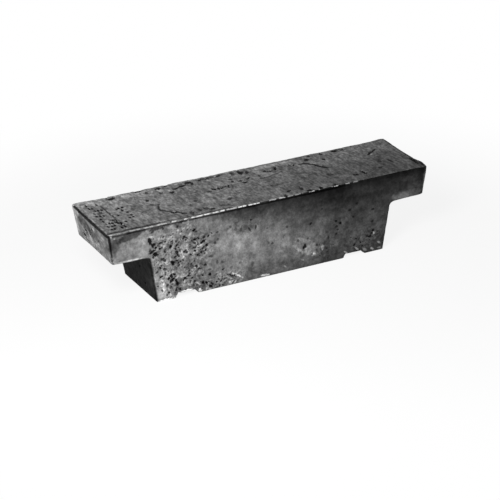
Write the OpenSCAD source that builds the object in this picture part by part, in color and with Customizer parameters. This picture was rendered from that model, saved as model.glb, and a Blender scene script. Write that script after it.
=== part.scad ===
// Lugged selenium ingot, cast in one piece in an open mould.
//
// It lies as it was poured: wide free surface up, narrow mould floor down. +X runs along the
// ingot, +Y across it and +Z up. The origin is the middle of the face that it rests on.
// Every mould face has draft, so the bar narrows from the free surface to the floor.

/* [Bar] */
// Length over both lugs, at the rim of the free surface
bar_length = 488; // [400:1:600]
// Width at the rim of the free surface
bar_width = 120; // [100:1:150]
// Height from the resting face to the free surface
bar_height = 115; // [100:1:130]
// Slope of the long sides from the vertical, in degrees
side_draft = 2.75; // [1:0.25:4]

/* [Lugs] */
// Thickness of a lug where it meets the body
lug_thickness = 45; // [35:1:55]
// Free length of a lug beyond the body, at its root
lug_reach = 54.5; // [35:0.5:60]
// Slope of a lug's end face, in degrees
lug_end_draft = 6; // [2:0.5:8]
// Slope of a lug's underside, which climbs towards the tip, in degrees
lug_rise = 2; // [0.5:0.25:4]
// Slope of the body's end faces under the lugs, in degrees
body_end_draft = 8; // [3:0.5:10]

/* [Strap grooves] */
// Distance from the body's end, at its foot, to the middle of the nearer groove
groove_inset = 47.5; // [30:0.5:60]
// Width of a groove's roof
groove_roof = 28.5; // [20:0.5:32]
// Depth of a groove
groove_depth = 6; // [5:0.5:9]
// Slope of a groove's walls from the vertical, in degrees
groove_draft = 22; // [10:1:30]

/* [Edges] */
// Radius of the lugs' upright corners
lug_corner_radius = 8; // [6:0.5:14]
// Radius of the body's upright corners
body_corner_radius = 5; // [4:0.5:8]
// Radius of the fillet between a lug and the body's end face
root_fillet = 7; // [4:0.5:10]
// Radius of the rim round the free surface
rim_radius = 2.5; // [1:0.5:4]
// Radius of the edge round the resting face
foot_radius = 2; // [1:0.5:3]

/* [Hidden] */

CORNER_STEPS = 6; // flats in a quarter turn of an upright corner
EDGE_STEPS = 3; // flats in a quarter turn of the rim and of the foot
FILLET_STEPS = 5; // flats in a quarter turn of the root fillet
OVERLAP = 8; // how far the body runs up inside the slab of the lugs
PAST = 10; // how far a cutting shape runs past what it cuts

rim_z = bar_height - rim_radius;
lug_underside = bar_height - lug_thickness;
body_end_at_root = half_length_at(lug_underside) - lug_reach;

// Half the width at height z: the long sides are one slope from foot to rim.
function half_width_at(z) = bar_width / 2 - (rim_z - z) * tan(side_draft);

// Half the length of the slab that ends in the lugs, at height z.
function half_length_at(z) = bar_length / 2 - (rim_z - z) * tan(lug_end_draft);

// Half the length of the body under the lugs, at height z.
function half_body_at(z) = body_end_at_root - (lug_underside - z) * tan(body_end_draft);

// A rounded rectangle at height z, anticlockwise, with CORNER_STEPS flats at each corner.
function ring(half_x, half_y, radius, z) = [
    for (corner = [0:3], step = [0:CORNER_STEPS])
        let (angle = 90 * (corner + step / CORNER_STEPS),
             sx = corner == 0 || corner == 3 ? 1 : -1,
             sy = corner < 2 ? 1 : -1)
        [sx * (half_x - radius) + radius * cos(angle),
         sy * (half_y - radius) + radius * sin(angle), z]
];

// The rings of an edge rounded by radius, where turn runs from 0 on the wall to 90 on the flat
// face. level is the height of that flat face, and up is 1 at a rim and -1 at a foot.
function rounded_edge(half_x, half_y, corner, radius, level, up, turns) = [
    for (turn = turns)
        let (inset = radius * (1 - cos(turn)))
        ring(half_x - inset, half_y - inset, corner - inset,
             level - up * radius * (1 - sin(turn)))
];

// The angles of a rounded edge, from its wall to its flat face.
function edge_turns() = [for (step = [0:EDGE_STEPS]) 90 * step / EDGE_STEPS];

// The same angles, from its flat face to its wall.
function reversed(list) = [for (i = [len(list) - 1:-1:0]) list[i]];

// One closed solid through rings that have like numbers of points, from the lowest upwards.
module loft(rings) {
    n = len(rings[0]);
    top = len(rings) - 1;
    polyhedron(
        points = [for (r = rings, p = r) p],
        faces = concat(
            [[for (i = [0:n - 1]) i]],
            [for (k = [0:top - 1], i = [0:n - 1])
                let (j = (i + 1) % n)
                [(k + 1) * n + i, (k + 1) * n + j, k * n + j, k * n + i]],
            [[for (i = [n - 1:-1:0]) top * n + i]]
        ),
        convexity = 4
    );
}

// The upper part, whose ends are the two lugs, with its rim rounded at the free surface.
module lug_slab() {
    loft(concat(
        [ring(half_length_at(lug_underside), half_width_at(lug_underside), lug_corner_radius,
              lug_underside)],
        rounded_edge(bar_length / 2, bar_width / 2, lug_corner_radius, rim_radius,
                     bar_height, 1, edge_turns())
    ));
}

// The body under the slab. Its ends flare into the lugs' undersides along the root fillet.
module body() {
    fillet_z = lug_underside - root_fillet;
    loft(concat(
        rounded_edge(half_body_at(foot_radius), half_width_at(foot_radius), body_corner_radius,
                     foot_radius, 0, -1, reversed(edge_turns())),
        [for (step = [0:FILLET_STEPS])
            let (turn = 90 * step / FILLET_STEPS, z = fillet_z + root_fillet * sin(turn))
            ring(half_body_at(z) + root_fillet * (1 - cos(turn)), half_width_at(z),
                 body_corner_radius, z)],
        [ring(body_end_at_root + root_fillet, half_width_at(lug_underside + OVERLAP),
              body_corner_radius, lug_underside + OVERLAP)]
    ));
}

// What the slope of the lugs' undersides leaves out, from the end of each root fillet.
module underside_slopes() {
    start = body_end_at_root + root_fillet;
    run = bar_length / 2 + PAST - start;
    for (side = [0, 1])
        mirror([side, 0, 0])
            translate([start, bar_width / 2 + PAST, lug_underside])
                rotate([90, 0, 0])
                    linear_extrude(bar_width + 2 * PAST)
                        polygon([[0, 0], [0, -PAST], [run, -PAST], [run, run * tan(lug_rise)]]);
}

// The two grooves across the resting face, which bundling straps pass through.
module strap_grooves() {
    middle = half_body_at(0) - groove_inset;
    roof = groove_roof / 2;
    mouth = roof + (groove_depth + PAST) * tan(groove_draft);
    for (side = [-1, 1])
        translate([side * middle, bar_width / 2 + PAST, 0])
            rotate([90, 0, 0])
                linear_extrude(bar_width + 2 * PAST)
                    polygon([[-roof, groove_depth], [-mouth, -PAST],
                             [mouth, -PAST], [roof, groove_depth]]);
}

module ingot() {
    color([0.27, 0.27, 0.28])
        difference() {
            union() {
                lug_slab();
                body();
            }
            underside_slopes();
            strap_grooves();
        }
}

ingot();
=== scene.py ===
import logging
import math
from abc import ABC, abstractmethod
from collections.abc import Callable, Iterator
from contextlib import contextmanager
from dataclasses import dataclass
from enum import Enum

import bmesh
import bpy
from mathutils import Matrix, Vector


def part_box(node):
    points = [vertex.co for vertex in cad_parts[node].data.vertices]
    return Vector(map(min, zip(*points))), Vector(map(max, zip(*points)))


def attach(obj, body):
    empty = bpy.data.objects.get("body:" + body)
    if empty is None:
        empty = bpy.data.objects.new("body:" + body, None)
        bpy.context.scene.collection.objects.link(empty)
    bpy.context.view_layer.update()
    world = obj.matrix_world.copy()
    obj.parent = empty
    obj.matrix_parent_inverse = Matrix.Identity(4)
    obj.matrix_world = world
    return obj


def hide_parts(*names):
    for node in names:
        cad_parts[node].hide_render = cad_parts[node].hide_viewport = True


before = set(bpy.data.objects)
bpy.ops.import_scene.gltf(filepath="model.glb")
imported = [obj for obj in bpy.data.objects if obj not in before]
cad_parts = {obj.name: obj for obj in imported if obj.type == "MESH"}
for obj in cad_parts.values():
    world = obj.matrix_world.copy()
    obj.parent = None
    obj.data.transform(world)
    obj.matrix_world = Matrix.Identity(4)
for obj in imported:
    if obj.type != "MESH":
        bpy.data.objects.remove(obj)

Point = tuple[float, float, float]
Piece = bpy.types.Object

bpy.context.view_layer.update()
LOG = logging.getLogger("selenium_ingot")
MM = 0.001
SQUARE_ON = 0.9          # from here on a part of a unit vector counts as the whole of it
CLOUD_SPAN = 0.35, 0.65  # between these lies most of a cloudy noise
MOTTLE_SPAN = 0.36, 0.64
GRAIN_SPAN = 0.34, 0.66


class Part(Enum):
    """What a selection is made of."""

    FACES = "FACE"
    EDGES = "EDGE"


class TreeKind(Enum):
    """The two kinds of node tree that a pattern is laid on."""

    SHADER = "ShaderNodeTree"
    GEOMETRY = "GeometryNodeTree"


# ---------------------------------------------------------------- modelling by hand


class Bench:
    """The modeller's bench: selects, opens and finishes one piece at a time."""

    @staticmethod
    def take(piece: Piece) -> None:
        """Selects piece alone and makes it the active object."""
        bpy.ops.object.select_all(action="DESELECT")
        piece.select_set(True)
        bpy.context.view_layer.objects.active = piece

    @staticmethod
    @contextmanager
    def opened(piece: Piece) -> Iterator[None]:
        """Holds piece open in edit mode.

        Args:
            piece: the mesh object to work on.
        """
        Bench.take(piece)
        bpy.ops.object.mode_set(mode="EDIT")
        try:
            yield
        finally:
            bpy.ops.object.mode_set(mode="OBJECT")

    @staticmethod
    def pick(piece: Piece, part: Part, wanted: Callable[[object], bool]) -> None:
        """Selects the faces or edges of an opened piece that a test wants, and no others.

        Args:
            piece: the piece, open in edit mode.
            part: whether faces or edges are meant.
            wanted: the test, given one bmesh face or edge.
        """
        bpy.ops.mesh.select_mode(type=part.value)
        bpy.ops.mesh.select_all(action="DESELECT")
        mesh = bmesh.from_edit_mesh(piece.data)
        for element in mesh.faces if part is Part.FACES else mesh.edges:
            if wanted(element):
                element.select_set(True)
        bmesh.update_edit_mesh(piece.data)

    @staticmethod
    def block(name: str, low: Point, high: Point) -> Piece:
        """Adds a block between two corners, with its place in its mesh.

        Args:
            name: the new object's name.
            low: its lowest corner, in metres.
            high: its highest corner, in metres.

        Returns:
            The new object.
        """
        middle = (Vector(low) + Vector(high)) / 2
        bpy.ops.mesh.primitive_cube_add(size=1, location=middle, scale=Vector(high) - Vector(low))
        piece = bpy.context.object
        piece.name = piece.data.name = name
        bpy.ops.object.transform_apply(location=True, rotation=True, scale=True)
        return piece

    @staticmethod
    def finish(piece: Piece, kind: str, **settings: object) -> None:
        """Adds one modifier to a piece and applies it.

        Args:
            piece: the mesh object.
            kind: the modifier's type, as Blender names it.
            **settings: the modifier's properties.
        """
        modifier = piece.modifiers.new(kind.lower(), kind)
        for key, value in settings.items():
            setattr(modifier, key, value)
        Bench.take(piece)
        bpy.ops.object.modifier_apply(modifier=modifier.name)


def edge_middle(edge: bmesh.types.BMEdge) -> Vector:
    """The middle of a mesh edge."""
    return (edge.verts[0].co + edge.verts[1].co) / 2


def edge_way(edge: bmesh.types.BMEdge) -> Vector:
    """The unit vector along a mesh edge."""
    return (edge.verts[1].co - edge.verts[0].co).normalized()


# ---------------------------------------------------------------- node patterns


def arithmetic(operation: str, swapped: bool = False) -> Callable[["Signal", "Term"], "Signal"]:
    """Makes the method of a signal that stands behind an arithmetic sign.

    Args:
        operation: what its Math node does.
        swapped: whether the signal stands to the right of the sign.

    Returns:
        The method.
    """
    def laid(signal: "Signal", other: "Term") -> "Signal":
        """Lays the node on the signal and the other term."""
        return signal.bench.work(operation, *((other, signal) if swapped else (signal, other)))
    return laid


@dataclass(frozen=True)
class Signal:
    """What a node gives out, a number or a vector. Arithmetic on it lays Math nodes."""

    bench: "NodeBench"
    socket: bpy.types.NodeSocket

    __add__ = arithmetic("ADD")
    __sub__ = arithmetic("SUBTRACT")
    __rsub__ = arithmetic("SUBTRACT", swapped=True)
    __mul__ = arithmetic("MULTIPLY")
    __truediv__ = arithmetic("DIVIDE")
    __rtruediv__ = arithmetic("DIVIDE", swapped=True)
    __pow__ = arithmetic("POWER")
    __rpow__ = arithmetic("POWER", swapped=True)

    def __abs__(self) -> "Signal":
        """This without its sign."""
        return self.bench.work("ABSOLUTE", self)

    def carried(self, ease: str, low: "Term", high: "Term", to_low: "Term",
                to_high: "Term") -> "Signal":
        """Lays the Map Range node of step and ramp.

        Args:
            ease: how it goes from end to end, as Blender names it.
            low: where the first range starts; it may be the larger end.
            high: where the first range ends.
            to_low: what low becomes.
            to_high: what high becomes.

        Returns:
            The carried value. Only a smooth step holds its ends by itself.
        """
        node = self.bench.add("ShaderNodeMapRange", interpolation_type=ease, clamp=False)
        self.bench.fill(node, {"Value": self, "From Min": low, "From Max": high,
                               "To Min": to_low, "To Max": to_high})
        return self.bench.out(node, "Result")

    def step(self, low: "Term", high: "Term", to_low: "Term" = 0.0,
             to_high: "Term" = 1.0) -> "Signal":
        """Carries the number from one range to another, eased and held at both ends."""
        return self.carried("SMOOTHSTEP", low, high, to_low, to_high)

    def ramp(self, low: "Term", high: "Term", to_low: "Term" = 0.0,
             to_high: "Term" = 1.0) -> "Signal":
        """Carries the number from one range to another evenly, held at both ends."""
        return self.carried("LINEAR", low, high, to_low, to_high).held(to_low, to_high)

    def fade(self, factor: "Term") -> "Signal":
        """What goes from 1 to factor as this goes from 0 to 1."""
        return self.bench.blend(self, 1.0, factor)

    def held(self, low: "Term", high: "Term") -> "Signal":
        """The number held between two others, either of which may be the larger."""
        return self.bench.put("ShaderNodeClamp", (self, low, high), clamp_type="RANGE")

    def noise(self, size: "Term", detail: float = 2.0, roughness: float = 0.5) -> "Signal":
        """Reads a Noise texture at this position.

        Args:
            size: the length of its coarsest features, in metres.
            detail: how many finer octaves it has.
            roughness: how strong they are.

        Returns:
            Its factor, about 0.5 on average.
        """
        node = self.bench.add("ShaderNodeTexNoise", noise_dimensions="3D")
        self.bench.fill(node, {"Vector": self, "Scale": 1.0 / size, "Detail": detail,
                               "Roughness": roughness, "Distortion": 0.0})
        return self.bench.out(node, 0)

    def swell(self, size: "Term", detail: float = 2.0, roughness: float = 0.5) -> "Signal":
        """Reads a Noise texture as noise does, but 0 on average."""
        return self.noise(size, detail, roughness) - 0.5

    def cells(self, size: "Term") -> tuple["Signal", "Signal"]:
        """Reads a Voronoi texture, whose cells are size apart, at this position.

        Args:
            size: the spacing of its cells, in metres.

        Returns:
            The distance to the nearest cell's point, in cells, and that cell's random colour.
        """
        node = self.bench.add("ShaderNodeTexVoronoi", voronoi_dimensions="3D", feature="F1")
        self.bench.fill(node, {"Vector": self, "Scale": 1.0 / size})
        return self.bench.out(node, "Distance"), self.bench.out(node, "Color")

    def parts(self) -> tuple["Signal", "Signal", "Signal"]:
        """The X, Y and Z of this vector."""
        first = self.bench.put("ShaderNodeSeparateXYZ", (self,))
        return tuple(self.bench.out(first.socket.node, axis) for axis in range(3))


Term = Signal | float | Point


def is_vector(term: Term) -> bool:
    """Whether a term is a vector or a colour, and not a number."""
    return isinstance(term, tuple) or isinstance(term, Signal) and term.socket.type != "VALUE"


class NodeBench:
    """Lays nodes on one tree, shader or geometry, and joins their sockets."""

    def __init__(self, tree: bpy.types.NodeTree) -> None:
        """Starts work on a tree."""
        self.tree = tree

    @classmethod
    def cleared(cls, holder: bpy.types.Material | bpy.types.World) -> "NodeBench":
        """A bench on the tree of a material or a world, which is emptied first."""
        holder.use_nodes = True
        holder.node_tree.nodes.clear()
        return cls(holder.node_tree)

    def add(self, kind: str, **settings: object) -> bpy.types.Node:
        """Adds a node and sets its properties.

        Args:
            kind: the node's type name.
            **settings: its properties.

        Returns:
            The new node.
        """
        node = self.tree.nodes.new(kind)
        for key, value in settings.items():
            setattr(node, key, value)
        return node

    def fill(self, node: bpy.types.Node, terms: dict[str, Term] | tuple[Term, ...]) -> None:
        """Links terms to a node's inputs, or writes those that are plain values there.

        Args:
            node: the node.
            terms: what goes into it, by the inputs' names or in their order.
        """
        for key, term in terms.items() if isinstance(terms, dict) else enumerate(terms):
            if isinstance(term, Signal):
                self.tree.links.new(term.socket, node.inputs[key])
            else:
                node.inputs[key].default_value = term

    def out(self, node: bpy.types.Node, output: str | int) -> Signal:
        """One of a node's outputs, by its name or its place."""
        return Signal(self, node.outputs[output])

    def put(self, kind: str, terms: dict[str, Term] | tuple[Term, ...] = (),
            output: str | int = 0, **settings: object) -> Signal:
        """Adds a node, fills its inputs and gives one of its outputs; see add, fill and out."""
        node = self.add(kind, **settings)
        self.fill(node, terms)
        return self.out(node, output)

    def show(self, kind: str, shader: bpy.types.Node) -> None:
        """Adds the tree's output node, of a given kind, and joins a shader to it."""
        self.fill(self.add(kind), {"Surface": self.out(shader, 0)})

    def work(self, operation: str, *terms: Term) -> Signal:
        """Lays one Math node, or one Vector Math node where a term is a vector.

        Args:
            operation: what it does, as Blender names it.
            *terms: its inputs in order.

        Returns:
            Its result.
        """
        kinds = [is_vector(term) for term in terms]
        if not any(kinds):
            return self.put("ShaderNodeMath", terms, operation=operation)
        if operation == "MULTIPLY" and not all(kinds):
            terms, operation = {"Vector": terms[0], "Scale": terms[1]}, "SCALE"
        number = operation in ("LENGTH", "DISTANCE", "DOT_PRODUCT")
        return self.put("ShaderNodeVectorMath", terms, "Value" if number else "Vector",
                        operation=operation)

    def blend(self, share: Term, first: Term, second: Term) -> Signal:
        """A number that goes from first to second as share goes from 0 to 1."""
        return self.put("ShaderNodeMix", {"Factor": share, "A": first, "B": second}, "Result",
                        data_type="FLOAT", clamp_factor=True)

    def total(self, terms: list[Term], operation: str = "ADD") -> Term:
        """The sum of terms, or their fold by another operation."""
        result = terms[0]
        for term in terms[1:]:
            result = self.work(operation, result, term)
        return result


class Pattern(ABC):
    """An effect that is laid as a node group, once for each kind of tree."""

    NAME = "pattern"
    INPUTS: dict[str, float | Point] = {}
    OUTPUTS: tuple[str, ...] = ("Mask",)
    _laid: dict[tuple[str, TreeKind], bpy.types.NodeTree] = {}

    @classmethod
    @abstractmethod
    def lay(cls, bench: NodeBench, *given: Signal) -> tuple[Term, ...]:
        """Lays the effect's own nodes.

        Args:
            bench: the bench on the group's tree.
            *given: the group's inputs, in the order of INPUTS.

        Returns:
            The group's outputs, in the order of OUTPUTS.
        """

    @classmethod
    def group(cls, kind: TreeKind) -> bpy.types.NodeTree:
        """The effect's group for a kind of tree, which is built at its first use.

        Args:
            kind: the kind of tree that it will be placed in.

        Returns:
            The node group.
        """
        key = (cls.NAME, kind)
        if key not in cls._laid:
            tree = bpy.data.node_groups.new(f"{cls.NAME} {kind.name.lower()}", kind.value)
            for name, default in cls.INPUTS.items():
                socket_type = "NodeSocket" + ("Vector" if is_vector(default) else "Float")
                tree.interface.new_socket(name, in_out="INPUT",
                                          socket_type=socket_type).default_value = default
            for name in cls.OUTPUTS:
                tree.interface.new_socket(name, in_out="OUTPUT", socket_type="NodeSocketFloat")
            bench = NodeBench(tree)
            entry, leave = bench.add("NodeGroupInput"), bench.add("NodeGroupOutput")
            made = cls.lay(bench, *(bench.out(entry, name) for name in cls.INPUTS))
            bench.fill(leave, dict(zip(cls.OUTPUTS, made)))
            cls._laid[key] = tree
        return cls._laid[key]

    @classmethod
    def at(cls, place: Signal, **given: Term) -> dict[str, Signal]:
        """Places the group, with its own values, in the tree that a position comes from.

        Args:
            place: the position that the effect is read at.
            **given: its other inputs; an underscore in a name stands for a space.

        Returns:
            Its outputs by name.
        """
        bench = place.bench
        kind = TreeKind(bench.tree.bl_idname)
        node = bench.add("ShaderNodeGroup" if kind is TreeKind.SHADER else "GeometryNodeGroup",
                         node_tree=cls.group(kind))
        bench.fill(node, {"Place": place} | {
            name.replace("_", " "): term for name, term in given.items()})
        return {name: bench.out(node, name) for name in cls.OUTPUTS}


class CastGrain(Pattern):
    """The fine grain of a cast skin, from two sizes of noise."""

    NAME = "cast grain"
    INPUTS = {"Place": (0, 0, 0), "Size": 0.003}
    OUTPUTS = ("Grain",)

    @classmethod
    def lay(cls, bench: NodeBench, place: Signal, size: Signal) -> tuple[Term, ...]:
        """Lays a coarse and a fine noise and averages them; see Pattern.lay."""
        coarse = place.noise(size, 2.0, 0.6)
        fine = place.noise(size * 0.45, 1.0)
        return (bench.blend(0.35, coarse, fine),)


class GasPits(Pattern):
    """Small gas pits: one in each cell of a scatter, where the density lets it be."""

    NAME = "gas pits"
    INPUTS = {"Place": (0, 0, 0), "Spacing": 0.008, "Radius": 0.3, "Density": 0.3}
    OUTPUTS = ("Depth", "Halo")

    @classmethod
    def lay(cls, bench: NodeBench, place: Signal, spacing: Signal, radius: Signal,
            density: Signal) -> tuple[Term, ...]:
        """Lays the scatter and the profile of a pit; see Pattern.lay."""
        push = place.swell(spacing * 0.45) * 1.1
        distance, colour = place.cells(spacing)
        chance, size, _ = colour.parts()
        there = chance.ramp(density, density - 0.04)
        radius = radius * size.ramp(0.0, 1.0, 0.5, 1.4)
        reach = (distance + push) / radius
        depth = reach.step(1.0, 0.35) * there
        ring = reach.step(1.9, 1.15) * there
        return depth, (ring - depth).held(0.0, 1.0)


class Spot(Pattern):
    """A soft-edged spot, turned about an axis: a patch of tone or a gouge."""

    NAME = "spot"
    INPUTS = {"Place": (0, 0, 0), "Centre": (0, 0, 0), "Reach": (0.01, 0.01, 0.01),
              "Turn": (0, 0, 0), "Core": 0.5, "Ragged": 0.2, "Ragged Size": 0.01}

    @classmethod
    def lay(cls, bench: NodeBench, place: Signal, centre: Signal, reach: Signal, turn: Signal,
            core: Signal, ragged: Signal, ragged_size: Signal) -> tuple[Term, ...]:
        """Lays the distance from the centre in reaches, and its soft edge; see Pattern.lay."""
        turned = bench.put("ShaderNodeVectorRotate", {"Vector": place - centre, "Rotation": turn},
                           rotation_type="EULER_XYZ")
        away = bench.work("LENGTH", turned / reach)
        return ((away + place.swell(ragged_size) * (ragged * 2.0)).step(1.0, core),)


class Crease(Pattern):
    """A thin line from one point to another: a cold shut, a seam or a rim's shadow line."""

    NAME = "crease"
    INPUTS = {"Place": (0, 0, 0), "Start": (0, 0, 0), "End": (0.01, 0, 0), "Width": 0.001,
              "Wander": 0.003}

    @classmethod
    def lay(cls, bench: NodeBench, place: Signal, start: Signal, end: Signal, width: Signal,
            wander: Signal) -> tuple[Term, ...]:
        """Lays the distance to the line between the two points; see Pattern.lay."""
        way = bench.put("ShaderNodeTexNoise", {"Vector": place, "Scale": 80.0}, "Color",
                        noise_dimensions="3D") - (0.5, 0.5, 0.5)
        from_start = place + way * wander - start
        run = end - start
        share = (bench.work("DOT_PRODUCT", from_start, run)
                 / bench.work("DOT_PRODUCT", run, run)).held(0.0, 1.0)
        away = bench.work("DISTANCE", from_start, run * share)
        return (away.step(width, width * 0.45),)


class PunchedBlock(Pattern):
    """Rows of punched dimples, side by side, some of them struck faintly or missed."""

    NAME = "punched block"
    INPUTS = {"Place": (0, 0, 0), "Start": (0, 0, 0), "Pitch": (0.008, 0.006, 1),
              "Count": (3, 15, 1), "Radius": 0.002}

    @classmethod
    def lay(cls, bench: NodeBench, place: Signal, start: Signal, pitch: Signal, count: Signal,
            radius: Signal) -> tuple[Term, ...]:
        """Lays one dimple in each cell of the block, a little off its place; see Pattern.lay."""
        steps = (place - start) / pitch
        cell = bench.work("FLOOR", steps)
        dice = bench.add("ShaderNodeTexWhiteNoise", noise_dimensions="3D")
        bench.fill(dice, {"Vector": (cell + start * 100.0) * (1, 1, 0)})
        aside, ahead, force = bench.out(dice, "Color").parts()
        middle = bench.put("ShaderNodeCombineXYZ", (
            aside.ramp(0, 1, 0.36, 0.64), ahead.ramp(0, 1, 0.35, 0.65), 0.0))
        off = (steps - cell - middle) * pitch * (1, 0.57, 0)
        dimple = bench.work("LENGTH", off).step(radius, radius * 0.7)
        share = (cell + (0.5, 0.5, 0)) / count
        across, along, _ = abs(share - (0.5, 0.5, 0)).parts()
        inside = bench.work("LESS_THAN", bench.work("MAXIMUM", across, along), 0.5)
        return (dimple * (force.step(0.25, 0.45) * inside),)


WORN_HIGHLIGHT_RUNS = (  # where the rim is worn bare and painted bright as a highlight, in millimetres along X, and how much
    (-241, -236, 0.5), (-236, -212, 0.15), (-212, -196, 0.25), (-192, -178, 0.25),
    (-172, -158, 0.4), (-153, -143, 0.6), (-139, -125, 0.7), (-122, -93, 0.9),
    (-91, -66, 0.95), (-65, -55, 0.6), (-53, -21, 1.0), (-6, 4, 0.5), (9, 18, 0.55),
    (22, 30, 0.35), (33, 45, 0.35), (55, 63, 0.7), (70, 75, 0.7), (90, 100, 0.65),
    (112, 118, 0.5), (122, 131, 0.3),
)


class RimWearAndHighlight(Pattern):
    """The broken bright line where the rim of the free surface is rubbed bare: smoother, and
    painted bright as a highlight.
    """

    NAME = "rim wear and highlight"
    INPUTS = {"Place": (0, 0, 0), "Half Width": 0.06, "Height": 0.1}
    OUTPUTS = ("Wear And Highlight",)

    @classmethod
    def lay(cls, bench: NodeBench, place: Signal, half_width: Signal,
            height: Signal) -> tuple[Term, ...]:
        """Lays the rim's band, breaks it up and fades it along the ingot; see Pattern.lay."""
        x, y, z = place.parts()
        past_side = y * -1.0 - half_width
        below = z - height
        band = past_side.step(-1.6 * MM, -0.7 * MM) * below.step(-2.7 * MM, -1.7 * MM)
        band = band * below.step(-0.1 * MM, -0.5 * MM)
        breaks = place.noise(6 * MM).step(0.38, 0.5)
        along: Term = 0.0
        for start, end, share in WORN_HIGHLIGHT_RUNS:
            run = (x.step((start - 1) * MM, (start + 1) * MM)
                   * x.step((end + 1) * MM, (end - 1) * MM, 0.0, share))
            along = bench.work("MAXIMUM", along, run)
        return (band * breaks * along,)


# ---------------------------------------------------------------- the casting's sizes


def slope(degrees: float) -> float:
    """How far a face leans for each metre of its height."""
    return math.tan(math.radians(degrees))


def metres(point: Point) -> Point:
    """A point that is given in millimetres, in metres."""
    return tuple(part * MM for part in point)


@dataclass(frozen=True)
class IngotForm:
    """The casting's sizes, in metres and degrees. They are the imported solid's own."""

    half_length: float
    half_width: float
    height: float
    rim_radius: float = 2.5 * MM
    side_draft: float = 2.75
    lug_thickness: float = 45 * MM
    lug_reach: float = 54.5 * MM
    lug_end_draft: float = 6.0
    body_end_draft: float = 8.0
    groove_inset: float = 47.5 * MM
    groove_roof: float = 28.5 * MM
    groove_depth: float = 6 * MM
    groove_draft: float = 22.0

    @classmethod
    def of_node(cls, node: str) -> "IngotForm":
        """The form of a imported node, whose outer sizes are read from its box."""
        _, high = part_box(node)
        return cls(high.x, high.y, high.z)

    @property
    def underside(self) -> float:
        """The height of a lug's underside at its root."""
        return self.height - self.lug_thickness

    @property
    def body_end(self) -> float:
        """Half the body's length at the lugs' root."""
        return self.half_length_at(self.underside) - self.lug_reach

    @property
    def groove_middle(self) -> float:
        """How far a groove's middle is from the ingot's."""
        return self.half_body_at(0) - self.groove_inset

    def half_width_at(self, z: float) -> float:
        """Half the width at height z."""
        return self.half_width - (self.height - self.rim_radius - z) * slope(self.side_draft)

    def half_length_at(self, z: float) -> float:
        """Half the length over the lugs at height z."""
        return self.half_length - (self.height - self.rim_radius - z) * slope(self.lug_end_draft)

    def half_body_at(self, z: float) -> float:
        """Half the body's length at height z, under the lugs."""
        return self.body_end - (self.underside - z) * slope(self.body_end_draft)


# ---------------------------------------------------------------- marks on the casting

NEAR = -58.0       # the near side's Y in millimetres, for marks that sit on it
NEAR_REACH = 20.0  # how far such a mark reaches out from it
TOP = 115.0        # the free surface's Z in millimetres
TOP_REACH = 12.0   # how far a mark reaches out from it
FULL_SHADE = 1.4   # the depth in millimetres from which a dent's painted shade is at its darkest


class Side(Enum):
    """The side that a mark is on: the axis that it is turned about, and which way."""

    MOULD = (1, 1)
    FREE = (2, -1)


@dataclass(frozen=True)
class Edge:
    """How a mark ends: the share of it that is whole, and how ragged it is from there on.

    size is the length of the rags in millimetres.
    """

    core: float
    ragged: float
    size: float


DENT = Edge(0.58, 0.6, 2.6)
BROAD = Edge(0.1, 0.2, 16)
TORN = Edge(0.5, 0.5, 4)


@dataclass(frozen=True)
class Mark:
    """A dent, pit or patch of tone that is placed one by one.

    Its centre and half sizes are in millimetres. Its turn is in degrees, anticlockwise as seen
    from outside. strength is what it does: millimetres of depth for a dent, a factor on the
    tone for a patch.
    """

    centre: Point
    half: Point
    side: Side
    turn: float
    strength: float
    edge: Edge = DENT

    @property
    def depth(self) -> float:
        """How deep it is as a dent, in millimetres."""
        return self.strength

    @property
    def shade(self) -> float:
        """How dark its painted shade is as a dent, from 0 to 1."""
        return min(1.0, self.strength / FULL_SHADE)

    def lay(self, place: Signal) -> Signal:
        """Places the mark's mask, which is 1 at its core."""
        axis, way = self.side.value
        turn = [0.0, 0.0, 0.0]
        turn[axis] = math.radians(self.turn) * way
        return Spot.at(place, Centre=metres(self.centre), Reach=metres(self.half),
                       Turn=tuple(turn), Core=self.edge.core, Ragged=self.edge.ragged,
                       Ragged_Size=self.edge.size * MM)["Mask"]


def side_marks(*rows: tuple[float | Edge, ...] | Mark) -> tuple[Mark, ...]:
    """Marks on the near long side.

    Args:
        *rows: X, Z, half width, half height, turn, strength and, if it isn't a dent's, the edge
            of each; or a mark as it stands.

    Returns:
        The marks in the rows' order.
    """
    return tuple(
        row if isinstance(row, Mark)
        else Mark((row[0], NEAR, row[1]), (row[2], NEAR_REACH, row[3]), Side.MOULD, *row[4:])
        for row in rows)


def top_marks(*rows: tuple[float | Edge, ...]) -> tuple[Mark, ...]:
    """Marks on the free surface, from rows as in side_marks, with Y for Z."""
    return tuple(Mark((row[0], row[1], TOP), (row[2], row[3], TOP_REACH), Side.FREE, *row[4:])
                 for row in rows)


@dataclass(frozen=True)
class Line:
    """A line through points, with its half width and depth in millimetres.

    shade is how dark its painted shade is, from 0 to 1.
    """

    points: tuple[Point, ...]
    width: float
    depth: float = 0.8
    wander: float = 3.0
    shade: float = 1.0

    def lay(self, place: Signal) -> Term:
        """Places the line's mask, which is 1 along its middle."""
        return place.bench.total([
            Crease.at(place, Start=metres(start), End=metres(end), Width=self.width * MM,
                      Wander=self.wander * MM)["Mask"]
            for start, end in zip(self.points, self.points[1:])], "MAXIMUM")


def top_line(width: float, shade: float, *points: tuple[float, float],
             wander: float = 3.0) -> Line:
    """A line on the free surface through points given by their X and Y."""
    return Line(tuple((x, y, TOP) for x, y in points), width, shade, wander, shade)


def near_share(y: Signal) -> Signal:
    """1 on the near side and 0 away from it, from Y."""
    return y.step(-30 * MM, -50 * MM)


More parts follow.
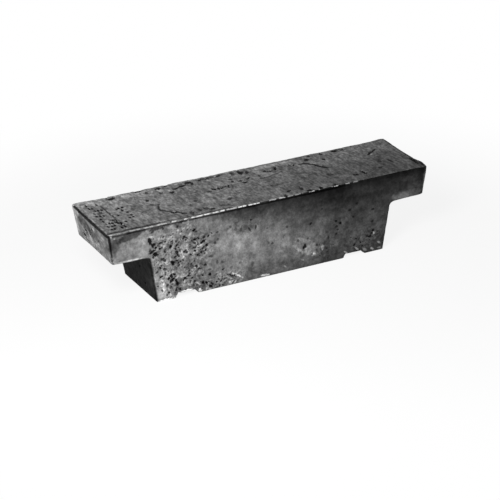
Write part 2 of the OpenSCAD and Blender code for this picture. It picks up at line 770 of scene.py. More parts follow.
def dents(place: Signal, marks: tuple[Mark | Line, ...]) -> tuple[Term, Term]:
    """Lays a set of dents or lines.

    Args:
        place: the position on the casting.
        marks: the dents or lines.

    Returns:
        How dark their painted shade is, from 0 to 1, and their joint depth in metres.
    """
    darkest: Term = 0.0
    deepest: Term = 0.0
    for mark in marks:
        mask = mark.lay(place)
        darkest = place.bench.work("MAXIMUM", darkest, mask * mark.shade)
        deepest = place.bench.work("MAXIMUM", deepest, mask * (mark.depth * MM))
    return darkest, deepest


SIDE_DENTS = side_marks(
    # the chain of gouges where the near lug joins the body
    (-182.7, 91.6, 3.5, 7, 15, 2.4), (-177.7, 84.9, 4.1, 4.5, 0, 2.2),
    (-174.6, 80.6, 2.9, 2.7, 0, 1.6), (-171, 83, 3.5, 1.8, -20, 0.9),
    (-179.6, 76.3, 7, 2.3, 25, 1.5), (-183.1, 78, 2.3, 3.9, 0, 1),
    (-175.3, 71.1, 5.6, 3.9, -30, 2), (-174.6, 108.4, 13.3, 2.8, 0, 1.1),
    (-179, 105, 3.9, 2.3, 30, 1),
    # the body's rough end
    (-165.3, 62, 3.4, 3.4, 0, 1.1), (-153.4, 77.6, 2.6, 3.5, 0, 1.4),
    (-144.3, 78, 2.5, 2.5, 0, 1.1), (-145.3, 68.3, 2.5, 2.5, 0, 1.1),
    (-133.1, 88.3, 2.9, 2.7, 0, 1.6), (-118.7, 94.4, 3.1, 2.6, 0, 2),
    (-117.6, 80.1, 3.9, 2.2, 0, 1.5), (-105.9, 74.4, 6.2, 2.5, 32, 2.2),
    (-112.5, 72, 3.6, 1.6, -10, 1.2), (-104.4, 81, 2, 2.9, -20, 1.2),
    (-100.1, 68.7, 3.1, 2.5, 0, 1.8), (-118, 68, 3.6, 1.8, 0, 1.2),
    (-102.3, 61.6, 2.1, 3.1, 0, 1.3), (-150, 52.6, 3.9, 3.9, 30, 2.2),
    (-162, 46.5, 4.4, 2.6, -20, 1.2), (-173.9, 44.6, 3.2, 2.1, 20, 1.1),
    (-167.7, 36.3, 3.6, 2.2, 25, 1.5), (-161.7, 40.5, 2.3, 3.6, 10, 1.1),
    (-156.7, 31.4, 3.6, 3.1, 0, 2), (-153, 34.2, 3, 4.2, 20, 1.8), (-152.6, 27, 4.7, 3.4, 30, 2.2),
    (-144, 21, 3.1, 3.6, 0, 1.8), (-146.3, 26.5, 2.3, 3.4, 0, 1.4), (-127.4, 28.3, 3.9, 2.7, 0, 2),
    (-133, 26.4, 3.9, 2, -20, 1.4), (-122.2, 24, 3.1, 2.6, 0, 1.6), (-141, 12.3, 3.2, 2, 0, 1.4),
    (-146, 12.5, 2.1, 3.4, 0, 1.2), (-112.3, 35.9, 3.6, 2.6, 0, 1.2),
    (-103, 39.4, 3.2, 1.8, -10, 1.2), (-96.1, 23.4, 3, 2.7, 0, 2),
    (-106.6, 13.7, 2.9, 2.7, 0, 1.9), (-100.7, 11.8, 2.3, 4.4, 35, 1.9),
    (-95.3, 5.6, 4.7, 2.5, -35, 1.8),
    # the middle
    (-88.3, 68.7, 2.6, 2.6, 0, 1), (-83.7, 73, 2.1, 2.3, 0, 0.8), (-84.7, 84, 2.4, 2, 0, 0.8),
    (-94.4, 50.1, 3.9, 2.3, 0, 0.9), (-85.1, 39.4, 2.2, 4.1, 0, 0.8),
    (-77.6, 38, 2.6, 3.1, 20, 0.8), (-96.6, 31, 3.6, 2.1, -15, 0.8),
    (-63.6, 14.2, 5.1, 1.4, -42, 1), (-64.4, 26.6, 3.2, 2.2, 0, 0.6),
    (-50.1, 30.9, 3.2, 2.1, -20, 0.7), (-31.6, 24.4, 3, 5.1, 0, 0.6),
    (-65.1, 87.3, 2.3, 2.8, 0, 0.8), (-56.6, 90.9, 3, 2.8, 0, 0.6),
    (-57.3, 81.6, 2.3, 3.2, 0, 0.7), (-49.4, 80.1, 2.2, 3.7, -10, 0.7),
    (-35.9, 77, 1.8, 4.6, 35, 1.1), (-26.6, 78.7, 2.2, 3.7, 5, 1.1), (-1.6, 48.3, 2.4, 2.3, 0, 1),
    (-7.3, 50.9, 2, 1.6, 0, 0.7), (-9.4, 73.4, 2, 2, 0, 0.6),
    # the far half
    (20.7, 68.7, 2.4, 2.4, 0, 0.8), (57.9, 65.1, 2.6, 2.2, 0, 1.1), (75, 83.7, 2.2, 1.7, 0, 0.7),
    (38.6, 43.7, 2.3, 2.6, 0, 0.9), (53.6, 43.7, 2.4, 2.5, 0, 0.8), (48.6, 31.6, 3, 5.3, -25, 1.7),
    (67.9, 30.5, 2, 2.9, 0, 1), (97.9, 60.1, 2.6, 2.3, 0, 1.2), (104.6, 55.9, 2.6, 2.6, 0, 1.4),
    (98.6, 51.6, 2.9, 2.1, 0, 1), (100.7, 46.6, 2.9, 1.6, -20, 0.9),
    (97.9, 40.9, 2.3, 2.3, 0, 0.9), (86.1, 38, 2, 3.3, 0, 0.9), (119.3, 72.3, 2.5, 2.4, 0, 1),
    (125, 60.9, 2.3, 2.3, 0, 0.9), (130.1, 80.1, 2.9, 2.6, 0, 0.9), (156.6, 65.9, 3.3, 2.1, 0, 1),
    (155.9, 47.3, 3.3, 2, 0, 1), (157.3, 33, 2.5, 2.5, 0, 1.2), (148, 26.6, 2.6, 3.1, 0, 1),
    # the near lug's end face
    Mark((-241, 30, 81), (9, 6.5, 3.2), Side.MOULD, 0, 1.8),
    Mark((-241, 26, 77), (9, 4.6, 2.4), Side.MOULD, 0, 1.2),
    Mark((-241, 18.5, 90.5), (9, 5.2, 2.6), Side.MOULD, 0, 1.2),
    Mark((-242, -5, 102), (9, 5, 2.4), Side.MOULD, 0, 1),
    Mark((-241, -23, 91.5), (9, 6, 3.2), Side.MOULD, 0, 0.9),
    Mark((-238, -58, 76), (4, 5, 4), Side.MOULD, 0, 1.2),
)

# painted shade: the dark line along the rounding of the rim at both ends, also cut in as a shallow
# groove
RIM_SHADE_LINES = (
    Line(((-243.4, 52, 114.6), (-243.5, 15, 113.4)), 2.8, 0.5, 1.5),
    Line(((-243.5, 15, 113.4), (-243.6, -20, 112.6), (-243.6, -59, 111.8)), 3.5, 0.5, 1.5),
    Line(((240.5, 46, 115.4), (241.0, 5, 114.6)), 2.4, 0.4, 1.5, 0.6),
    Line(((240.8, 5, 114.6), (240.5, -34, 114.2)), 3.3, 0.4, 1.5, 1.0),
    Line(((240.5, -34, 114.2), (240.2, -51, 113.4)), 1.9, 0.4, 1.5, 0.8),
)

SIDE_SHADE_LINES = RIM_SHADE_LINES + (
    # painted shade: the dark line under the near rim and the one down the near lug's corner, also
    # cut in as shallow grooves
    Line(((-236, -60, 110.6), (110, -60, 110.6)), 2.1, 0.7, 1.5, 0.8),
    Line(((-241.8, -60.2, 113.5), (-237.2, -58.2, 69)), 3.1, 0.5, 1.5),
)

TOP_DENTS = top_marks(
    (-189, 53, 7.5, 6.5, -15, 1.9), (-193.9, 57, 2.9, 6, 5, 1.1), (-147.4, 58, 6.8, 3.9, 0, 1.4),
    (-138.9, 46.9, 3.3, 5.7, -15, 1.1), (-148.9, 22.6, 2.9, 7.2, -28, 1.3),
    (-148.9, 6.1, 4.6, 4.8, 0, 0.9), (-133.1, 30.4, 2.6, 6.2, -25, 0.8),
    (-119.3, 53.6, 6, 5.1, 0, 1.8), (-121.7, 36.9, 4.4, 4.4, 0, 1.1),
    (-105.9, 56.9, 3.7, 4.8, -20, 1.8), (-98, 42.6, 5.2, 6.2, -30, 2),
    (-87, 45.6, 12.2, 3.9, 12, 1.6), (-74, 52, 7.1, 5.7, 0, 1.5),
    (-70.9, 45.4, 2.6, 6.2, -15, 1.3), (-56.6, 51.1, 3.3, 4.4, -15, 2),
    (-45.9, 53.3, 3.8, 4.8, -15, 2), (-30.5, 52.6, 5.2, 4.2, 0, 2), (-40, 54, 29.9, 3.6, 0, 1.1),
    (-108, 31.9, 4.4, 6.2, -20, 1.4), (-52.3, 14.7, 4.8, 6.2, -10, 2),
    (-46.6, 12.6, 2.6, 5.7, -15, 1.5), (-42, 11.9, 2.7, 5.1, -15, 2),
    (-36.6, 14.7, 4.6, 4.2, -15, 2), (-31.5, 12, 1.9, 6.9, -20, 1.4),
    (-26.6, 9.7, 2.8, 5.7, -25, 2), (-62.3, 7.6, 3.8, 4.8, -25, 0.9),
    (-8.7, 21.9, 4.4, 3.6, 0, 1.8), (-19.4, 24, 2.7, 5.1, -15, 1.4), (-18, 33.3, 4.4, 3, 0, 0.9),
    (-5.9, 14.7, 4.8, 5.3, -20, 1.8), (-5.9, 49.7, 5.7, 7.5, -15, 1),
    (-49.4, -27.6, 6, 3.9, 30, 1.1), (-100.9, -41.7, 3.5, 6.2, -10, 1.1),
    (-92.3, -41.7, 4, 6.2, -15, 1.1), (-85.1, -46.7, 5.2, 5.1, 0, 1.3),
    (-68.7, -43.1, 5.7, 4.2, 0, 0.9), (-60.9, -46.7, 2.9, 3.9, 0, 0.9),
    (-115, -46, 4, 9, -15, 1.1), (-93.7, -12.4, 2.7, 6.2, -20, 0.8),
    (-104.4, -22.4, 3.5, 4.8, 0, 0.8), (-136, -32.4, 4.6, 4.8, 0, 1.4),
    (-124.6, -41.7, 5.7, 4.8, 0, 1), (5, 49.7, 5.2, 9.6, -5, 2), (13.6, 45.4, 3.3, 6.9, -25, 1.3),
    (54.3, 39, 4, 7.5, -25, 2), (36.4, 36.1, 3.5, 5.3, -10, 1.5), (42.9, 33.3, 6.5, 3.6, 10, 1.3),
    (82.9, 36.9, 3.5, 6, -10, 2), (76.4, 36.1, 2.7, 4.8, 0, 1), (92.1, 34, 4, 4.4, 0, 1),
    (107.9, 44.7, 4.8, 5.1, 0, 1.6), (116.4, 54.7, 3.5, 4.2, 0, 1.4), (5, 24.7, 5.4, 3.2, 25, 1.5),
    (22.9, 26, 2.4, 6.2, -25, 0.9), (25.7, -16, 7.9, 5.7, 0, 0.7), (110, -20.3, 5.7, 5.7, 0, 0.9),
    (93.6, -8, 3.5, 10.4, -5, 0.8), (50.7, -44.6, 3.3, 7.8, -5, 1.3),
    (31.4, -45, 5.7, 2.7, 30, 1.3), (20.7, -57, 2.8, 5.7, -10, 1.7), (58.6, -56, 6.5, 3.9, 0, 1.4),
    (75, -57, 3.3, 6.2, -15, 1.7), (97.5, -56, 4.8, 3.2, 20, 1.6), (135.9, 54, 3.5, 4.4, 0, 1.4),
    (158.7, 54, 7.1, 4.2, 0, 1.6), (170.9, 53.3, 5.4, 3.9, 0, 1.7),
    (129.4, 33.3, 3.5, 5.3, -10, 1.4), (205.9, 46.1, 3.8, 4.2, 0, 0.8),
    (193.7, -11.7, 3.3, 6, -10, 1), (208, -18, 2.8, 10.4, 0, 1), (182.3, -33, 4, 4.4, 0, 0.9),
    (153.7, -34.6, 2.7, 11.7, 0, 1.7), (140.4, -38.4, 6.8, 4.3, -10, 1.7),
    (236, -34, 2.7, 15, 0, 1.5),
)

TOP_LINES = (
    top_line(2.5, 0.85, (-140.3, 2.6), (-144.6, -4.6), (-147.6, -11.7), (-148.1, -18.1),
             (-143.1, -23.1), (-139.6, -27.4)),
    top_line(2.8, 0.8, (-139.6, -27.4), (-134, -31.5), (-128, -37), (-122, -44)),
    top_line(3.0, 1.0, (97, 34), (102, 29), (108, 22), (113.6, 11), (118, 3)),
    top_line(2.0, 0.6, (15.7, 14), (22.9, 12.6), (32.9, 14.7), (40, 18.3), (58, 24.5)),
    top_line(2.5, 1.2, (193, 17.5), (197, 22), (203, 25.4), (211, 31), wander=1.5),
    top_line(2.0, 0.7, (-211.5, 36), (-211.0, -4), wander=1.5),
    top_line(2.4, 1.0, (-210.3, -5), (-209.8, -20), (-210.8, -46), wander=1.5),
    top_line(2.8, 1.0, (-212.6, -19), (-213.4, -30), wander=1.5),
    # painted shade: the dark line along the near rim and the far rim of the free surface, also cut
    # in as shallow grooves
    top_line(3.4, 0.9, (-240, -54.5), (-228, -54.5), (-200, -54.8), (-166, -55.0), wander=1.5),
    top_line(2.6, 0.6, (-166, -55.0), (-140, -55.3), (-110, -55.5), (-62, -56.0)),
    top_line(1.8, 0.6, (219, 58.0), (238, 57.6), wander=1.5),
) + RIM_SHADE_LINES

PUNCHED_BLOCKS = (  # where each starts, its pitches and its counts along X and Y
    ((-232.0, -48, TOP), (4.7, 9.5), (5, 10)),
    ((-205.0, -34, TOP), (4.9, 9.2), (4, 6)),
)

NEAR_ROUGH = side_marks(  # where the near side is rough, and how much
    (-140, 55, 60, 92, 0, 0.9, Edge(0.4, 0.3, 22)), (-76, 12, 54, 26, 0, 0.9, Edge(0.2, 0.4, 18)),
    (-45, 84, 46, 24, 0, 0.45, Edge(0, 0.4, 18)), (75, 22, 50, 22, 0, 0.7, Edge(0, 0.4, 18)),
    (140, 22, 50, 26, 0, 0.9, Edge(0, 0.4, 18)),
)
END_ROUGH = (Mark((-242, 5, 92), (13, 62, 30), Side.MOULD, 0, 0.5, Edge(0.4, 0.4, 16)),)


class MouldMarks(Pattern):
    """Everything that marks the faces that the mould made."""

    NAME = "mould marks"
    INPUTS = {"Place": (0, 0, 0)}
    OUTPUTS = ("Height", "Pits", "Halo", "Flecks", "Dents", "Lines", "Rough")

    @classmethod
    def lay(cls, bench: NodeBench, place: Signal) -> tuple[Term, ...]:
        """Lays sway, ripple, pits, dents and lines; see Pattern.lay."""
        rough = cls.roughest(place)
        density = rough.ramp(0.15, 1.0, 0.0, 0.8)
        coarse = GasPits.at(place, Spacing=8.5 * MM, Radius=0.32, Density=density)
        fine = GasPits.at(place + (0.31, 0.17, 0.23), Spacing=5.4 * MM, Radius=0.38,
                          Density=density * 0.9)
        dent_mask, dent_depth = dents(place, SIDE_DENTS)
        line_mask, line_depth = dents(place, SIDE_SHADE_LINES)
        torn = (place + (0.11, 0.23, 0.07)).noise(7 * MM, 3.0, 0.6)
        cavity = torn.step(0.42, 0.34) * rough.step(0.3, 0.7)
        flecks = torn.step(0.56, 0.66) * rough.step(0.2, 0.7)
        pits = bench.total([coarse["Depth"], fine["Depth"], cavity], "MAXIMUM")
        sway, swell = place.swell(90 * MM, 1.0), place.swell(26 * MM)
        ripple = place.swell(8 * MM, 2.0, 0.55)
        height = bench.total([
            sway * (0.8 * MM), swell * (0.9 * MM),
            ripple * rough.ramp(0.0, 1.0, 0.6 * MM, 2.2 * MM),
            coarse["Depth"] * (-1.4 * MM), fine["Depth"] * (-0.8 * MM), cavity * (-1.0 * MM),
            dent_depth * -1.0, line_depth * -1.0,
        ])
        height = height * place.parts()[2].step(0.0, 4 * MM, 0.15, 1.0)
        halo = bench.work("MAXIMUM", coarse["Halo"], fine["Halo"])
        return height, pits, halo, flecks, dent_mask, line_mask, rough

    @staticmethod
    def roughest(place: Signal) -> Signal:
        """Where the skin is roughest: at one end of the near side and in patches elsewhere.

        Args:
            place: the position on the casting.

        Returns:
            0 where it is smooth and 1 where it is roughest.
        """
        bench = place.bench
        broad = place.noise(60 * MM).step(0.42, 0.72, 0.05, 0.5)
        near = near_share(place.parts()[1])
        near_rough, end_rough = (
            bench.total([mark.lay(place) * mark.strength for mark in marks], "MAXIMUM")
            for marks in (NEAR_ROUGH, END_ROUGH))
        quiet = broad * 0.45
        spread = bench.blend(near, broad, bench.work("MAXIMUM", near_rough, quiet))
        return bench.work("MAXIMUM", spread, end_rough)


class FreeMarks(Pattern):
    """Everything that marks the surface that set in the air."""

    NAME = "free surface marks"
    INPUTS = {"Place": (0, 0, 0)}
    OUTPUTS = ("Height", "Dents", "Lines", "Punches")

    @classmethod
    def lay(cls, bench: NodeBench, place: Signal) -> tuple[Term, ...]:
        """Lays swell, wrinkles, dents, cold shuts and punched rows; see Pattern.lay."""
        dent_mask, dent_depth = dents(place, TOP_DENTS)
        line_mask, line_depth = dents(place, TOP_LINES)
        punches: Term = 0.0
        for start, pitch, count in PUNCHED_BLOCKS:
            block = PunchedBlock.at(place, Start=metres(start), Count=(*count, 1.0),
                                    Pitch=(pitch[0] * MM, pitch[1] * MM, 1.0),
                                    Radius=2.15 * MM)
            punches = bench.work("MAXIMUM", punches, block["Mask"])
        swell, wrinkle = place.swell(34 * MM), place.swell(9 * MM, 2.5, 0.6)
        height = bench.total([
            swell * (1.6 * MM), wrinkle * (1.7 * MM),
            dent_depth * -1.0, line_depth * -1.0, punches * (-1.1 * MM),
        ])
        return height, dent_mask, line_mask, punches


# ---------------------------------------------------------------- the casting


@dataclass(frozen=True)
class Nudge:
    """A corner or edge that the casting carries a little out of true. Sizes in millimetres."""

    at: Point
    move: Point
    reach: float


@dataclass
class IngotCasting:
    """The ingot itself: modelled to the form, given its cast relief, and dressed."""

    form: IngotForm
    skin_size: float = 1.6 * MM
    largest_round: float = 12 * MM
    round_steps: int = 4
    tip_lean: float = 2.2 * MM
    lug_rise: float = 0.6
    flat_within: float = 0.3
    groove_shifts: tuple[float, float] = (-2.6 * MM, -0.4 * MM)
    cut_past: float = 10 * MM
    near_drop: float = 0.6 * MM
    far_lift: float = 0.4 * MM
    free_drop: float = 3.125 * MM
    free_level: float = 0.75
    nudges: tuple[Nudge, ...] = (
        Nudge((-242, 59, 115), (0, 0, 1.0), 50),
        Nudge((241, 59, 115), (0.6, 0, 1.2), 40),
        Nudge((-236, -58, 71), (0, 0, -1.4), 60),
        Nudge((-195, -57, 71), (0, 0, -1.2), 40),
        Nudge((241, -57, 115), (-0.6, 0.6, -2.2), 15),
        Nudge((243, -55, 106), (3.2, 0, 0), 30),
        Nudge((240, -55, 74), (3.0, 0, 0), 34),
        Nudge((215, -57, 71), (0, 0, 1.0), 45),
        Nudge((182, -57, 62), (0.4, 0, 0), 26),
    )

    def build(self) -> Piece:
        """Makes the finished mesh.

        Returns:
            The ingot's object.
        """
        piece = self.blank()
        self.draw_lugs(piece)
        self.cut_grooves(piece)
        self.round_edges(piece)
        Bench.finish(piece, "REMESH", mode="VOXEL", voxel_size=self.skin_size,
                     use_smooth_shade=True)
        self.carry_out_of_true(piece)
        self.work_relief(piece)
        return piece

    def blank(self) -> Piece:
        """The body under the lugs, with its drafted faces, and the slab drawn up from it."""
        form = self.form
        end, side = form.body_end, form.half_width_at(form.underside)
        piece = Bench.block("ingot_casting", (-end, -side, 0), (end, side, form.underside))
        with Bench.opened(piece):
            Bench.pick(piece, Part.FACES, lambda face: face.normal.z < -SQUARE_ON)
            bpy.ops.transform.resize(
                value=(form.half_body_at(0) / end, form.half_width_at(0) / side, 1),
                center_override=(0, 0, 0))
            Bench.pick(piece, Part.FACES, lambda face: face.normal.z > SQUARE_ON)
            bpy.ops.mesh.extrude_region_move(
                TRANSFORM_OT_translate={"value": (0, 0, form.lug_thickness)})
            bpy.ops.transform.resize(value=(1, form.half_width_at(form.height) / side, 1),
                                     center_override=(0, 0, 0))
        return piece

    def draw_lugs(self, piece: Piece) -> None:
        """Draws a lug out of each end of the slab, and gives its end and underside their draft.

        Args:
            piece: the blank.
        """
        form = self.form
        lean = form.half_length_at(form.height) - form.half_length_at(form.underside)
        rise = form.lug_reach * slope(self.lug_rise)

        def is_tip(edge: bmesh.types.BMEdge, way: int, z: float) -> bool:
            """Whether an edge is the one across a lug's tip, at height z."""
            middle = edge_middle(edge)
            beyond = middle.x * way > form.body_end + form.lug_reach / 2
            return beyond and abs(middle.y) < MM and abs(middle.z - z) < MM

        with Bench.opened(piece):
            for way in (-1, 1):
                Bench.pick(piece, Part.FACES, lambda face: face.normal.x * way > SQUARE_ON
                           and face.calc_center_median().z > form.underside)
                bpy.ops.mesh.extrude_region_move(
                    TRANSFORM_OT_translate={"value": (way * form.lug_reach, 0, 0)})
                Bench.pick(piece, Part.EDGES, lambda edge: is_tip(edge, way, form.height))
                bpy.ops.transform.translate(value=(way * lean, 0, 0))
                Bench.pick(piece, Part.EDGES, lambda edge: is_tip(edge, way, form.underside))
                bpy.ops.transform.translate(
                    value=(way * (rise * slope(form.lug_end_draft) - self.tip_lean), 0, rise))
            bpy.ops.mesh.select_all(action="SELECT")
            bpy.ops.mesh.dissolve_limited(angle_limit=math.radians(self.flat_within))
            for way, lift in ((-1, -self.near_drop), (1, self.far_lift)):
                Bench.pick(piece, Part.EDGES, lambda edge: edge_middle(edge).z > form.height - MM
                           and edge_middle(edge).y * way > form.half_width / 2)
                bpy.ops.transform.translate(value=(0, 0, lift))

    def cut_grooves(self, piece: Piece) -> None:
        """Cuts the two strap grooves across the foot.

        Args:
            piece: the blank with its lugs.
        """
        form, past = self.form, self.cut_past
        roof = form.groove_roof / 2
        mouth = roof + (form.groove_depth + past) * slope(form.groove_draft)
        for way, shift in zip((-1, 1), self.groove_shifts):
            middle = way * form.groove_middle + shift
            cutter = Bench.block("groove_cutter",
                                 (middle - mouth, -form.half_width - past, -past),
                                 (middle + mouth, form.half_width + past, form.groove_depth))
            with Bench.opened(cutter):
                Bench.pick(cutter, Part.FACES, lambda face: face.normal.z > SQUARE_ON)
                bpy.ops.transform.resize(value=(roof / mouth, 1, 1),
                                         center_override=(middle, 0, 0))
            Bench.finish(piece, "BOOLEAN", operation="DIFFERENCE", solver="EXACT",
                         object=cutter)
            bpy.data.objects.remove(cutter)

    def radius_of(self, edge: bmesh.types.BMEdge) -> float:
        """The radius that an edge of the sharp casting is rounded to.

        Args:
            edge: an edge of the sharp casting.

        Returns:
            The radius, in metres.
        """
        form, middle, way = self.form, edge_middle(edge), edge_way(edge)
        upright, across = abs(way.z) > SQUARE_ON, abs(way.y) > SQUARE_ON
        right, near = middle.x > 0, middle.y < 0
        if middle.z > form.height - MM:  # the rim
            rim = (4.5 if right else 2.2) if across else 2.2 if near else 1.2
            return rim * MM
        if upright and middle.z > form.underside:  # a lug's corner
            return ((10 if near else 12) if right else 3.5 if near else 2.5) * MM
        if middle.z < form.groove_depth + 0.5 * MM:  # the foot and the grooves
            return 0.4 * MM
        if upright:  # the body's corner
            return 4 * MM
        if across and abs(middle.x) < form.body_end + MM:  # a lug's root
            return (7.5 if right else 5) * MM
        return 1.6 * MM

    def round_edges(self, piece: Piece) -> None:
        """Rounds every edge, each to its own radius.

        Args:
            piece: the sharp casting.
        """
        with Bench.opened(piece):
            mesh = bmesh.from_edit_mesh(piece.data)
            weight = mesh.edges.layers.float.new("bevel_weight_edge")
            for edge in mesh.edges:
                edge[weight] = self.radius_of(edge) / self.largest_round
            bmesh.update_edit_mesh(piece.data)
        Bench.finish(piece, "BEVEL", limit_method="WEIGHT", width=self.largest_round,
                     segments=self.round_steps, use_clamp_overlap=False, offset_type="OFFSET")

    def carry_out_of_true(self, piece: Piece) -> None:
        """Pulls the corners and edges that aren't quite where the mould meant them.

        Args:
            piece: the rounded casting, with its skin of even quads.
        """
        with Bench.opened(piece):
            for nudge in self.nudges:
                at = Vector(nudge.at) * MM
                bpy.ops.mesh.select_mode(type="VERT")
                bpy.ops.mesh.select_all(action="DESELECT")
                mesh = bmesh.from_edit_mesh(piece.data)
                nearest = min(mesh.verts, key=lambda vert: (vert.co - at).length_squared)
                nearest.select_set(True)
                bmesh.update_edit_mesh(piece.data)
                bpy.ops.transform.translate(
                    value=Vector(nudge.move) * MM, use_proportional_edit=True,
                    proportional_edit_falloff="SMOOTH", proportional_size=nudge.reach * MM)

    def work_relief(self, piece: Piece) -> None:
        """Works the relief of the cast skin into the mesh itself.

        Args:
            piece: the casting with its skin of even quads.
        """
        tree = bpy.data.node_groups.new("cast relief", TreeKind.GEOMETRY.value)
        for way in ("INPUT", "OUTPUT"):
            tree.interface.new_socket("Geometry", in_out=way, socket_type="NodeSocketGeometry")
        bench = NodeBench(tree)
        entry, leave = bench.add("NodeGroupInput"), bench.add("NodeGroupOutput")
        place = bench.put("GeometryNodeInputPosition")
        normal = bench.put("GeometryNodeInputNormal")
        mould = MouldMarks.at(place)["Height"]
        free = FreeMarks.at(place)["Height"]
        is_free = normal.parts()[2].step(0.5, SQUARE_ON)
        moved = bench.add("GeometryNodeSetPosition")
        bench.fill(moved, {"Geometry": bench.out(entry, 0),
                           "Offset": normal * bench.blend(is_free, mould, free)})
        settled = bench.add("GeometryNodeSetPosition")
        x, y, z = bench.put("GeometryNodeInputPosition").parts()
        above = bench.put("ShaderNodeCombineXYZ", (x, y, bench.work("MAXIMUM", z, 0.0)))
        bench.fill(settled, {"Geometry": bench.out(moved, 0), "Position": above})
        bench.fill(leave, {"Geometry": bench.out(settled, 0)})
        Bench.finish(piece, "NODES", node_group=tree)

    def dress(self, piece: Piece, top: bpy.types.Material, mould: bpy.types.Material) -> None:
        """Gives the free surface and the mould's faces their finishes, and registers the piece.

        Args:
            piece: the finished casting.
            top: the material of the free surface.
            mould: the material of every face that the mould made.
        """
        piece.data.materials.clear()
        piece.data.materials.append(top)
        piece.data.materials.append(mould)
        for face in piece.data.polygons:
            high = face.center.z > self.form.height - self.free_drop
            face.material_index = 0 if high and face.normal.z > self.free_level else 1
        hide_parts("ingot")
        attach(piece, "root")


# ---------------------------------------------------------------- finishes

SIDE_PATCHES = side_marks(
    # the near lug: smooth and light below a slanting edge, darker above it
    (-205, 84, 32, 17, 22, 1.32, Edge(0.6, 0.2, 12)),
    (-209, 107, 26, 7.5, 14, 0.33, Edge(0.6, 0.35, 6)),
    (-232, 98, 17, 9, 50, 0.56, Edge(0.6, 0.35, 6)), (-238, 96, 9, 24, 0, 0.55, BROAD),
    (-215, 71, 23, 1.6, 0, 2.6, TORN), (-182.5, 98.6, 4.6, 1.7, 0, 1.9, TORN),
    # painted highlights: the two specks just below the near lug's top corner
    (-238, 110.5, 2.4, 1.6, 0, 3.6, TORN), (-233.5, 107, 1.8, 1.6, 0, 2.6, TORN),
    # painted light on the far lug's near face: lifts where the painted shade would leave it too
    # dark, lighter towards its foot, and a painted highlight down its rounded corner
    (165, 107, 100, 20, 0, 3.1, BROAD), (212, 82, 42, 17, 0, 1.5, BROAD),
    (242, 92, 8, 30, 0, 4.5, BROAD),
    Mark((244, -53, 98), (9, 14, 34), Side.MOULD, 0, 3.4, Edge(0.4, 0.2, 16)),
    # light areas of the body
    (-165, 15, 11, 21, 0, 1.75, BROAD), (-178.5, 35, 3.6, 38, -7, 1.7, Edge(0.5, 0.4, 8)),
    (-110, 30, 6, 5, 0, 1.5, TORN), (-79, 17, 13, 5.5, -10, 1.6, TORN),
    (-50, 62, 60, 22, 0, 1.35, BROAD), (-75, 34, 30, 9, 0, 0.8, BROAD),
    (51, 32, 24, 12, -36, 1.55, Edge(0.75, 0.35, 7)), (14, 18, 26, 12, 0, 0.75, BROAD),
    # painted light: (209, 77) and (222, 98) lift the far lug's near face, as above
    (66, 46, 26, 9, 0, 1.15, BROAD), (209, 77, 31, 8, 0, 3.3, Edge(0.3, 0.3, 8)),
    (222, 98, 28, 22, 0, 2.3, BROAD),
    # bright streaks
    (-155, 54.8, 6.5, 1.5, 25, 2.2, TORN), (-116, 16, 7.5, 1.6, -42, 2.4, TORN),
    (-56.6, 13.8, 13, 1.9, -33, 2.9, TORN), (-68, 12.2, 8.5, 1.8, -33, 2.5, TORN),
    (38, 31, 13, 2.6, -42, 1.6, TORN), (52, 22, 6, 5.2, -20, 1.7, TORN),
    (63.5, 17.4, 4.4, 2.2, -30, 2.6, TORN), (76.4, 25, 3.2, 5.6, 0, 3.2, TORN),
    (45.4, 13, 3.2, 1.7, -30, 2.4, TORN), (17.9, 9.4, 3.6, 1.7, -45, 2.4, TORN),
    (158, 29.4, 1.8, 2.8, 0, 3, TORN),
    # light marks along the foot; the first two are painted highlights on the foot's edge and the
    # groove's roof
    (-163, 1.2, 15, 2.3, 0, 4.5, TORN), (-133, 7.8, 15, 2, 0, 3.6, TORN),
    (-111, 3, 3.4, 4, 0, 6, TORN), (-101.6, 3.7, 2, 3, 0, 3.4, TORN),
    (-97.3, 1.8, 3.2, 1.8, -20, 3, TORN), (-63, 4.2, 6.5, 3.2, -10, 3.4, TORN),
    (-13, 3.2, 9, 2.2, -6, 6, TORN), (113.6, 9.2, 4.4, 1.6, -35, 6, TORN),
    (131.6, 10.4, 5, 1.6, -42, 6, TORN), (144.5, 6.5, 5.6, 2.4, -38, 4.2, TORN),
    (156.6, 5, 4.2, 2.4, -30, 6.5, TORN), (166.8, 12.5, 4.8, 1.9, -35, 5, TORN),
    (168, 4.2, 3.4, 1.8, 0, 4, TORN),
    # the near lug's end face
    Mark((-240, 62, 94), (14, 32, 36), Side.MOULD, 0, 2.9, BROAD),
    Mark((-241, 50, 102), (9, 4.6, 3.2), Side.MOULD, 0, 1.6, TORN),
    Mark((-242, -12, 105), (9, 6, 1.8), Side.MOULD, 0, 1.5, TORN),
    Mark((-242, -41, 103), (9, 5, 3.2), Side.MOULD, 0, 1.6, TORN),
    Mark((-242, -30, 98), (9, 9, 2), Side.MOULD, 0, 1.5, TORN),
    Mark((-242, 21, 101), (12, 29, 11), Side.MOULD, 0, 0.4, Edge(0.5, 0.35, 8)),
    Mark((-242, -6, 95), (12, 19, 9), Side.MOULD, 0, 0.6, Edge(0.4, 0.35, 8)),
    Mark((-241, 5, 82), (12, 50, 10), Side.MOULD, 0, 1.25, BROAD),
)

